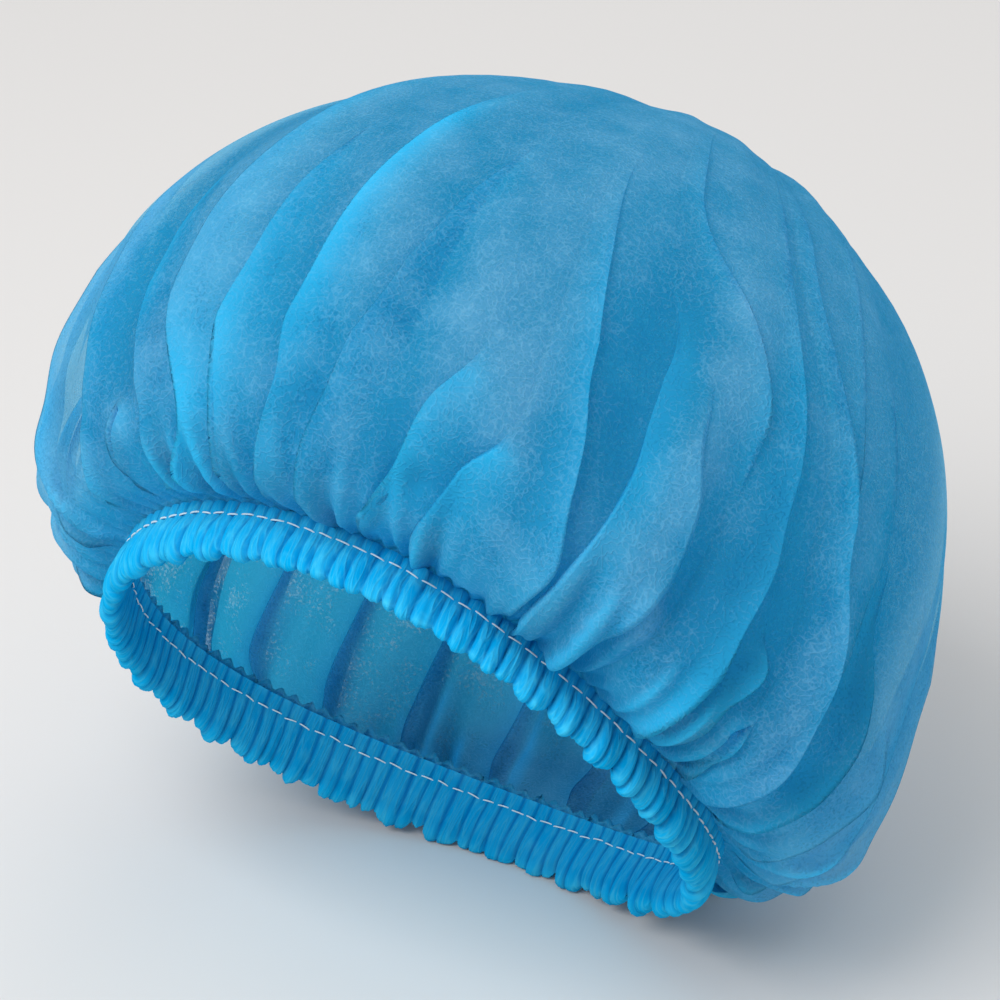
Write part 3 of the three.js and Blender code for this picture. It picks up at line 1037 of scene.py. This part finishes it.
@dataclass
class Casing:
    """The hem: the sheet's edge folded outward round the elastic and drawn into ribs (mm).

    path holds the folded sheet's section, from the inner header over the rim to the outer header:
    the level, the distance out from the band and how strongly the ribs show there.
    """

    form: CapForm
    pose: CapPose
    # The casing's azure is a deep navy: the colour of painted shade in rib valleys and on the
    # inside.
    finish: Nonwoven = field(
        default_factory=lambda: Nonwoven(
            "casing nonwoven", dye=(0.002, 0.47, 0.92), pale=(0.12, 0.78, 1.0),
            azure=(0.0, 0.12, 0.42), glow=(0.01, 0.50, 0.95), cover=1.15, cloud=0.2, speck=0.0,
            stroke=0.26, fleece=0.4, through=0.22, lap_shade=0.0, lap_or_shade_tone=0.85, grain=(1.0, 0.14),
        )  # fmt: skip
    )
    path: tuple[tuple[float, float, float], ...] = (
        (1.30, -1.7, 0.25), (1.00, -1.5, 0.25), (0.72, -2.3, 0.38), (0.35, -2.7, 0.62),
        (0.06, -1.7, 1.0), (-0.02, 0.0, 0.95), (0.06, 1.9, 1.0), (0.35, 2.9, 1.0), (0.70, 2.7, 1.0),
        (0.92, 2.0, 0.85), (1.00, 1.5, 0.5), (1.08, 1.7, 0.6), (1.20, 2.0, 0.7), (1.317, 1.7, 0.6),
    )  # fmt: skip
    rows: int = 34
    path_rounds: int = 2
    ribs: int = 112
    columns_in_rib: int = 10
    rib_rise: float = 1.8
    rib_power: float = 0.55
    rib_middle: float = 0.75
    drift_waves: Waves = Waves(21, 12, (9, 45), 0.7)
    drift: float = 0.65
    slant: float = 0.9
    size_waves: Waves = Waves(22, 8, (20, 60), 0.8)
    size_spread: float = 0.30
    crease_waves: Waves = Waves(23, 16, (200, 520), 1.8)
    crease: float = 0.12
    swell_waves: Waves = Waves(24, 10, (26, 60))
    swell: float = 0.7
    # How far up a rib the painted valley shade reaches.
    valley_width: float = 1.45
    # Painted shade on the band's inside: where the inside part of the path ends, and how dark it
    # is.
    inner_part: tuple[float, float] = (0.36, 0.46)
    inner_shade: float = 0.42
    floor_lift: float = 0.12
    map_size: tuple[float, float] = (0.56, 0.04)

    def points(self) -> tuple[Array, Array]:
        """Works out the sheet: the folded path carried round the band, pushed out into ribs.

        A rib's height is |cos(phase / 2)|^rib_power, so ribs are round and the valleys between them
        sharp; the phase drifts with slow waves, which makes the ribs uneven and slightly slanted.

        Returns:
            The points, rows x columns x 3 in metres, and the painted shade at each: darker deep in
            a valley between ribs and on the band's inside.
        """
        path = np.array(self.path)
        steps = np.hypot(np.diff(path[:, 0]) * self.form.casing_height, np.diff(path[:, 1]))
        knots = np.append(0.0, np.cumsum(steps))
        run = np.linspace(0, knots[-1], self.rows)
        level, outward, depth = (np.interp(run, knots, part)[:, None] for part in path.T)
        for _ in range(self.path_rounds):
            level, outward = self._eased(level), self._eased(outward)
        columns = self.ribs * self.columns_in_rib
        angle = np.linspace(0, 2 * math.pi, columns, endpoint=False)[None, :]
        drift = self.drift * self.drift_waves.at(angle, level) + self.slant * (1 - level)
        rib = np.abs(np.cos((self.ribs * angle + drift) / 2)) ** self.rib_power
        size = 1 + self.size_spread * self.size_waves.at(angle, level)
        push = self.rib_rise * size * (rib - self.rib_middle)
        push = push + self.crease * self.crease_waves.at(angle, level)
        below = np.clip(1 - level, 0, 1)
        push = depth * (push + self.swell * below * self.swell_waves.at(angle, level))
        rise, spread = self._slope(level, outward)
        up = level - push * spread / self.form.casing_height
        side = self.form.band(angle, up, outward + push * rise)
        start, end = (part * run[-1] for part in self.inner_part)
        inner = 1 - smooth_step(run, start, end)[:, None]
        # Painted shade: the colour turns deep navy in the valleys between ribs and on the band's
        # inside.
        painted_shade = np.clip(1 - self.valley_width * rib, 0, 1)
        shade = np.clip(painted_shade + self.inner_shade * inner, 0, 1)
        return self.pose.lay(side, self.floor_lift), shade

    @staticmethod
    def _eased(values: Array) -> Array:
        """Averages each row with its neighbours, ends kept."""
        inside = 0.25 * values[:-2] + 0.5 * values[1:-1] + 0.25 * values[2:]
        return np.concatenate([values[:1], inside, values[-1:]])

    def _slope(self, level: Array, outward: Array) -> tuple[Array, Array]:
        """Finds the path's direction at each row, as the difference of its neighbours.

        Args:
            level: casing heights above the rim.
            outward: distance out from the band, in mm.

        Returns:
            Its shares upward and outward, together 1 long.
        """
        rise = np.gradient(level, axis=0) * self.form.casing_height
        spread = np.gradient(outward, axis=0)
        length = np.hypot(rise, spread) + 1e-9
        return rise / length, spread / length

    def build(self) -> Piece:
        """Makes the casing, dresses it and puts it in its node's place.

        Returns:
            The casing.
        """
        grid, painted_shade = self.points()
        rows, columns = grid.shape[:2]
        piece = mesh_object("casing_cloth_sheet", grid, grid_quads(point_numbers(rows, columns)))
        across = np.linspace(0, self.map_size[0], columns)[None, :]
        set_cloth_map(piece, across, np.linspace(0, self.map_size[1], rows)[:, None])
        whole = np.ones((rows, columns))
        # The painted shade is stored in the attribute that the crown uses for lapped cloth.
        set_attributes(piece, cloth_share=whole, lapped=painted_shade, frosted=0 * whole)
        piece.data.materials.append(self.finish.material())
        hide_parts("hem_casing")
        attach(piece, "root")
        return piece


@dataclass
class StitchLine:
    """The sewing thread: one raised stitch over each rib, along the stitch line (mm).

    The same row of stitches shows outside and inside. length_spread holds the least and the most of
    a stitch's length, as shares of the usual one; slant and wander are in casing heights.
    """

    form: CapForm
    pose: CapPose
    finish: PlainFibre = field(
        default_factory=lambda: PlainFibre("sewing thread", (0.70, 0.88, 0.98), 0.6, 2500.0)
    )
    seed: int = 7
    stitches: int = 112
    length_spread: tuple[float, float] = (0.85, 1.1)
    slant: float = 0.025
    wander: float = 0.012
    dive: float = 0.9
    radius: float = 0.25
    end_taper: float = 0.75
    inner_radius: float = 0.65
    outward: float = 2.2
    inward: float = 2.0
    sides: int = 6
    steps: int = 8

    def build(self) -> Piece:
        """Carries a small ring along each stitch, whose ends dip into the cloth.

        A stitch follows the band's stitch line over a rib and sinks by dive * t^4, where t runs
        from -1 to 1 along it.

        Returns:
            The thread.
        """
        along = np.linspace(-1, 1, self.steps)
        pitch = 2 * math.pi / self.stitches
        rng = np.random.default_rng(self.seed)
        middle = (np.arange(self.stitches) + 0.5) * pitch
        half = 0.5 * pitch * rng.uniform(*self.length_spread, self.stitches)
        angle = middle[:, None] + half[:, None] * along
        slant = rng.uniform(-self.slant, self.slant, self.stitches)[:, None] * along
        level = 1.0 + slant + rng.normal(0, self.wander, self.stitches)[:, None]
        turn = np.linspace(0, 2 * math.pi, self.sides, endpoint=False)
        radius = self.radius * (1 - self.end_taper * along**6)
        dive = self.dive * along**4
        rows = []
        for middle_out, wide in (
            (self.outward - dive, radius),
            (dive - self.inward, self.inner_radius * radius),
        ):
            outward = (middle_out[:, None] + wide[:, None] * np.cos(turn))[None]
            raised = wide[:, None] * np.sin(turn) / self.form.casing_height
            spots = np.broadcast_arrays(angle[..., None], level[..., None] + raised)
            rows.append(self.pose.lay(self.form.band(*spots, outward)))
        points = np.concatenate(rows)
        index = np.arange(points[..., 0].size).reshape(points.shape[:3])
        after = np.roll(index, -1, axis=2)
        corners = [index[:, :-1], index[:, 1:], after[:, 1:], after[:, :-1]]
        piece = mesh_object("stitch_thread", points, np.stack(corners, axis=-1).reshape(-1, 4))
        piece.data.materials.append(self.finish.material())
        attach(piece, "root")
        return piece


@dataclass
class Elastic:
    """The flat elastic inside the casing: the CAD node, with a rubber finish."""

    finish: PlainFibre = field(
        default_factory=lambda: PlainFibre("elastic rubber", (0.80, 0.83, 0.85), 0.55, 900.0, 0.1)
    )

    def dress(self) -> None:
        """Gives the carried-over node its finish."""
        node = bpy.data.objects["elastic"]
        finish = self.finish.material()
        for slot in node.material_slots:
            slot.material = finish


@dataclass(frozen=True)
class Lamp:
    """A square soft lamp that points at a target (metres, watts)."""

    name: str
    place: Spot
    target: Spot
    power: float
    size: float = 1.2

    def build(self) -> None:
        """Adds the lamp to the scene, turned to its target."""
        data = bpy.data.lights.new(self.name, "AREA")
        data.size = self.size
        data.energy = self.power
        lamp = bpy.data.objects.new(self.name, data)
        x, y, z = np.array(self.place) - np.array(self.target)
        lamp.location = self.place
        lamp.rotation_euler = (math.atan2(math.hypot(x, y), z), 0, math.atan2(y, x) + math.pi / 2)
        bpy.context.scene.collection.objects.link(lamp)


@dataclass
class Studio:
    """A pale floor that runs up behind, soft light and the photograph's camera (metres)."""

    eye: Spot = (0.00249, -0.87173, 0.58169)
    tilt: float = 62.0
    lens: float = 131.0
    film_width: float = 36.0
    seen: tuple[float, float] = (0.01, 50.0)
    floor_size: float = 14.0
    bend: float = 0.8
    wall_top: float = 3.0
    paper: Colour = (0.722, 0.711, 0.704)
    paper_roughness: float = 0.9
    paper_shine: float = 0.1
    sky_colour: Colour = (1.0, 0.997, 0.99)
    sky: float = 0.61
    lamps: tuple[Lamp, ...] = (
        Lamp("key", (-0.8, -0.9, 1.6), (0.0, -0.04, 0.1), 28.5),
        Lamp("back", (0.5, 1.2, 1.3), (0.0, 0.0, 0.1), 4.275),
    )

    def camera(self) -> None:
        """Sets the camera where the photograph was taken from."""
        data = bpy.data.cameras.new("camera")
        data.lens = self.lens
        data.sensor_width = self.film_width
        data.clip_start, data.clip_end = self.seen
        camera = bpy.data.objects.new("camera", data)
        camera.location = self.eye
        camera.rotation_euler = (math.radians(self.tilt), 0.0, 0.0)
        bpy.context.scene.collection.objects.link(camera)
        bpy.context.scene.camera = camera

    def floor(self) -> Piece:
        """Makes the floor, a flat sheet that bends up far behind the cap.

        Returns:
            The floor.
        """
        half = self.floor_size / 2
        across = np.linspace(-half, half, 9)
        turn = np.linspace(0, math.pi / 2, 12)
        y = np.concatenate([[-half, 0.0], half + self.bend * np.sin(turn), [half + self.bend]])
        z = np.concatenate([[0.0, 0.0], self.bend * (1 - np.cos(turn)), [self.wall_top]])
        grid = np.stack(np.broadcast_arrays(across[None, :], y[:, None], z[:, None]), axis=-1)
        numbers = point_numbers(len(y), len(across), closed=False)
        piece = mesh_object("studio_floor", grid, grid_quads(numbers))
        material = bpy.data.materials.new("studio paper")
        material.use_nodes = True
        shader = material.node_tree.nodes["Principled BSDF"]
        shader.inputs["Base Color"].default_value = (*self.paper, 1)
        shader.inputs["Roughness"].default_value = self.paper_roughness
        shader.inputs["Specular IOR Level"].default_value = self.paper_shine
        piece.data.materials.append(material)
        return piece

    def light(self) -> None:
        """Adds the even sky and the soft lamps, and sets how light is traced and shown."""
        world = bpy.data.worlds.new("studio")
        world.use_nodes = True
        background = world.node_tree.nodes["Background"]
        background.inputs["Color"].default_value = (*self.sky_colour, 1)
        background.inputs["Strength"].default_value = self.sky
        scene = bpy.context.scene
        scene.world = world
        for lamp in self.lamps:
            lamp.build()
        scene.view_settings.view_transform = "Standard"
        scene.cycles.max_bounces = 3
        scene.cycles.diffuse_bounces = 2
        scene.cycles.transparent_max_bounces = 6


def main() -> None:
    """Builds the studio and the cap's pieces in order and reports each."""
    logging.basicConfig(level=logging.INFO, format="%(message)s")
    pose, form = CapPose(), CapForm()
    studio = Studio()
    studio.camera()
    studio.floor()
    studio.light()
    crown = Crown(form, pose).build()
    LOG.info("crown: %d faces", len(crown.data.polygons))
    casing = Casing(form, pose).build()
    LOG.info("casing: %d faces", len(casing.data.polygons))
    thread = StitchLine(form, pose).build()
    LOG.info("thread: %d faces", len(thread.data.polygons))
    Elastic().dress()
    LOG.info("elastic: dressed")


if __name__ == "__main__":
    main()
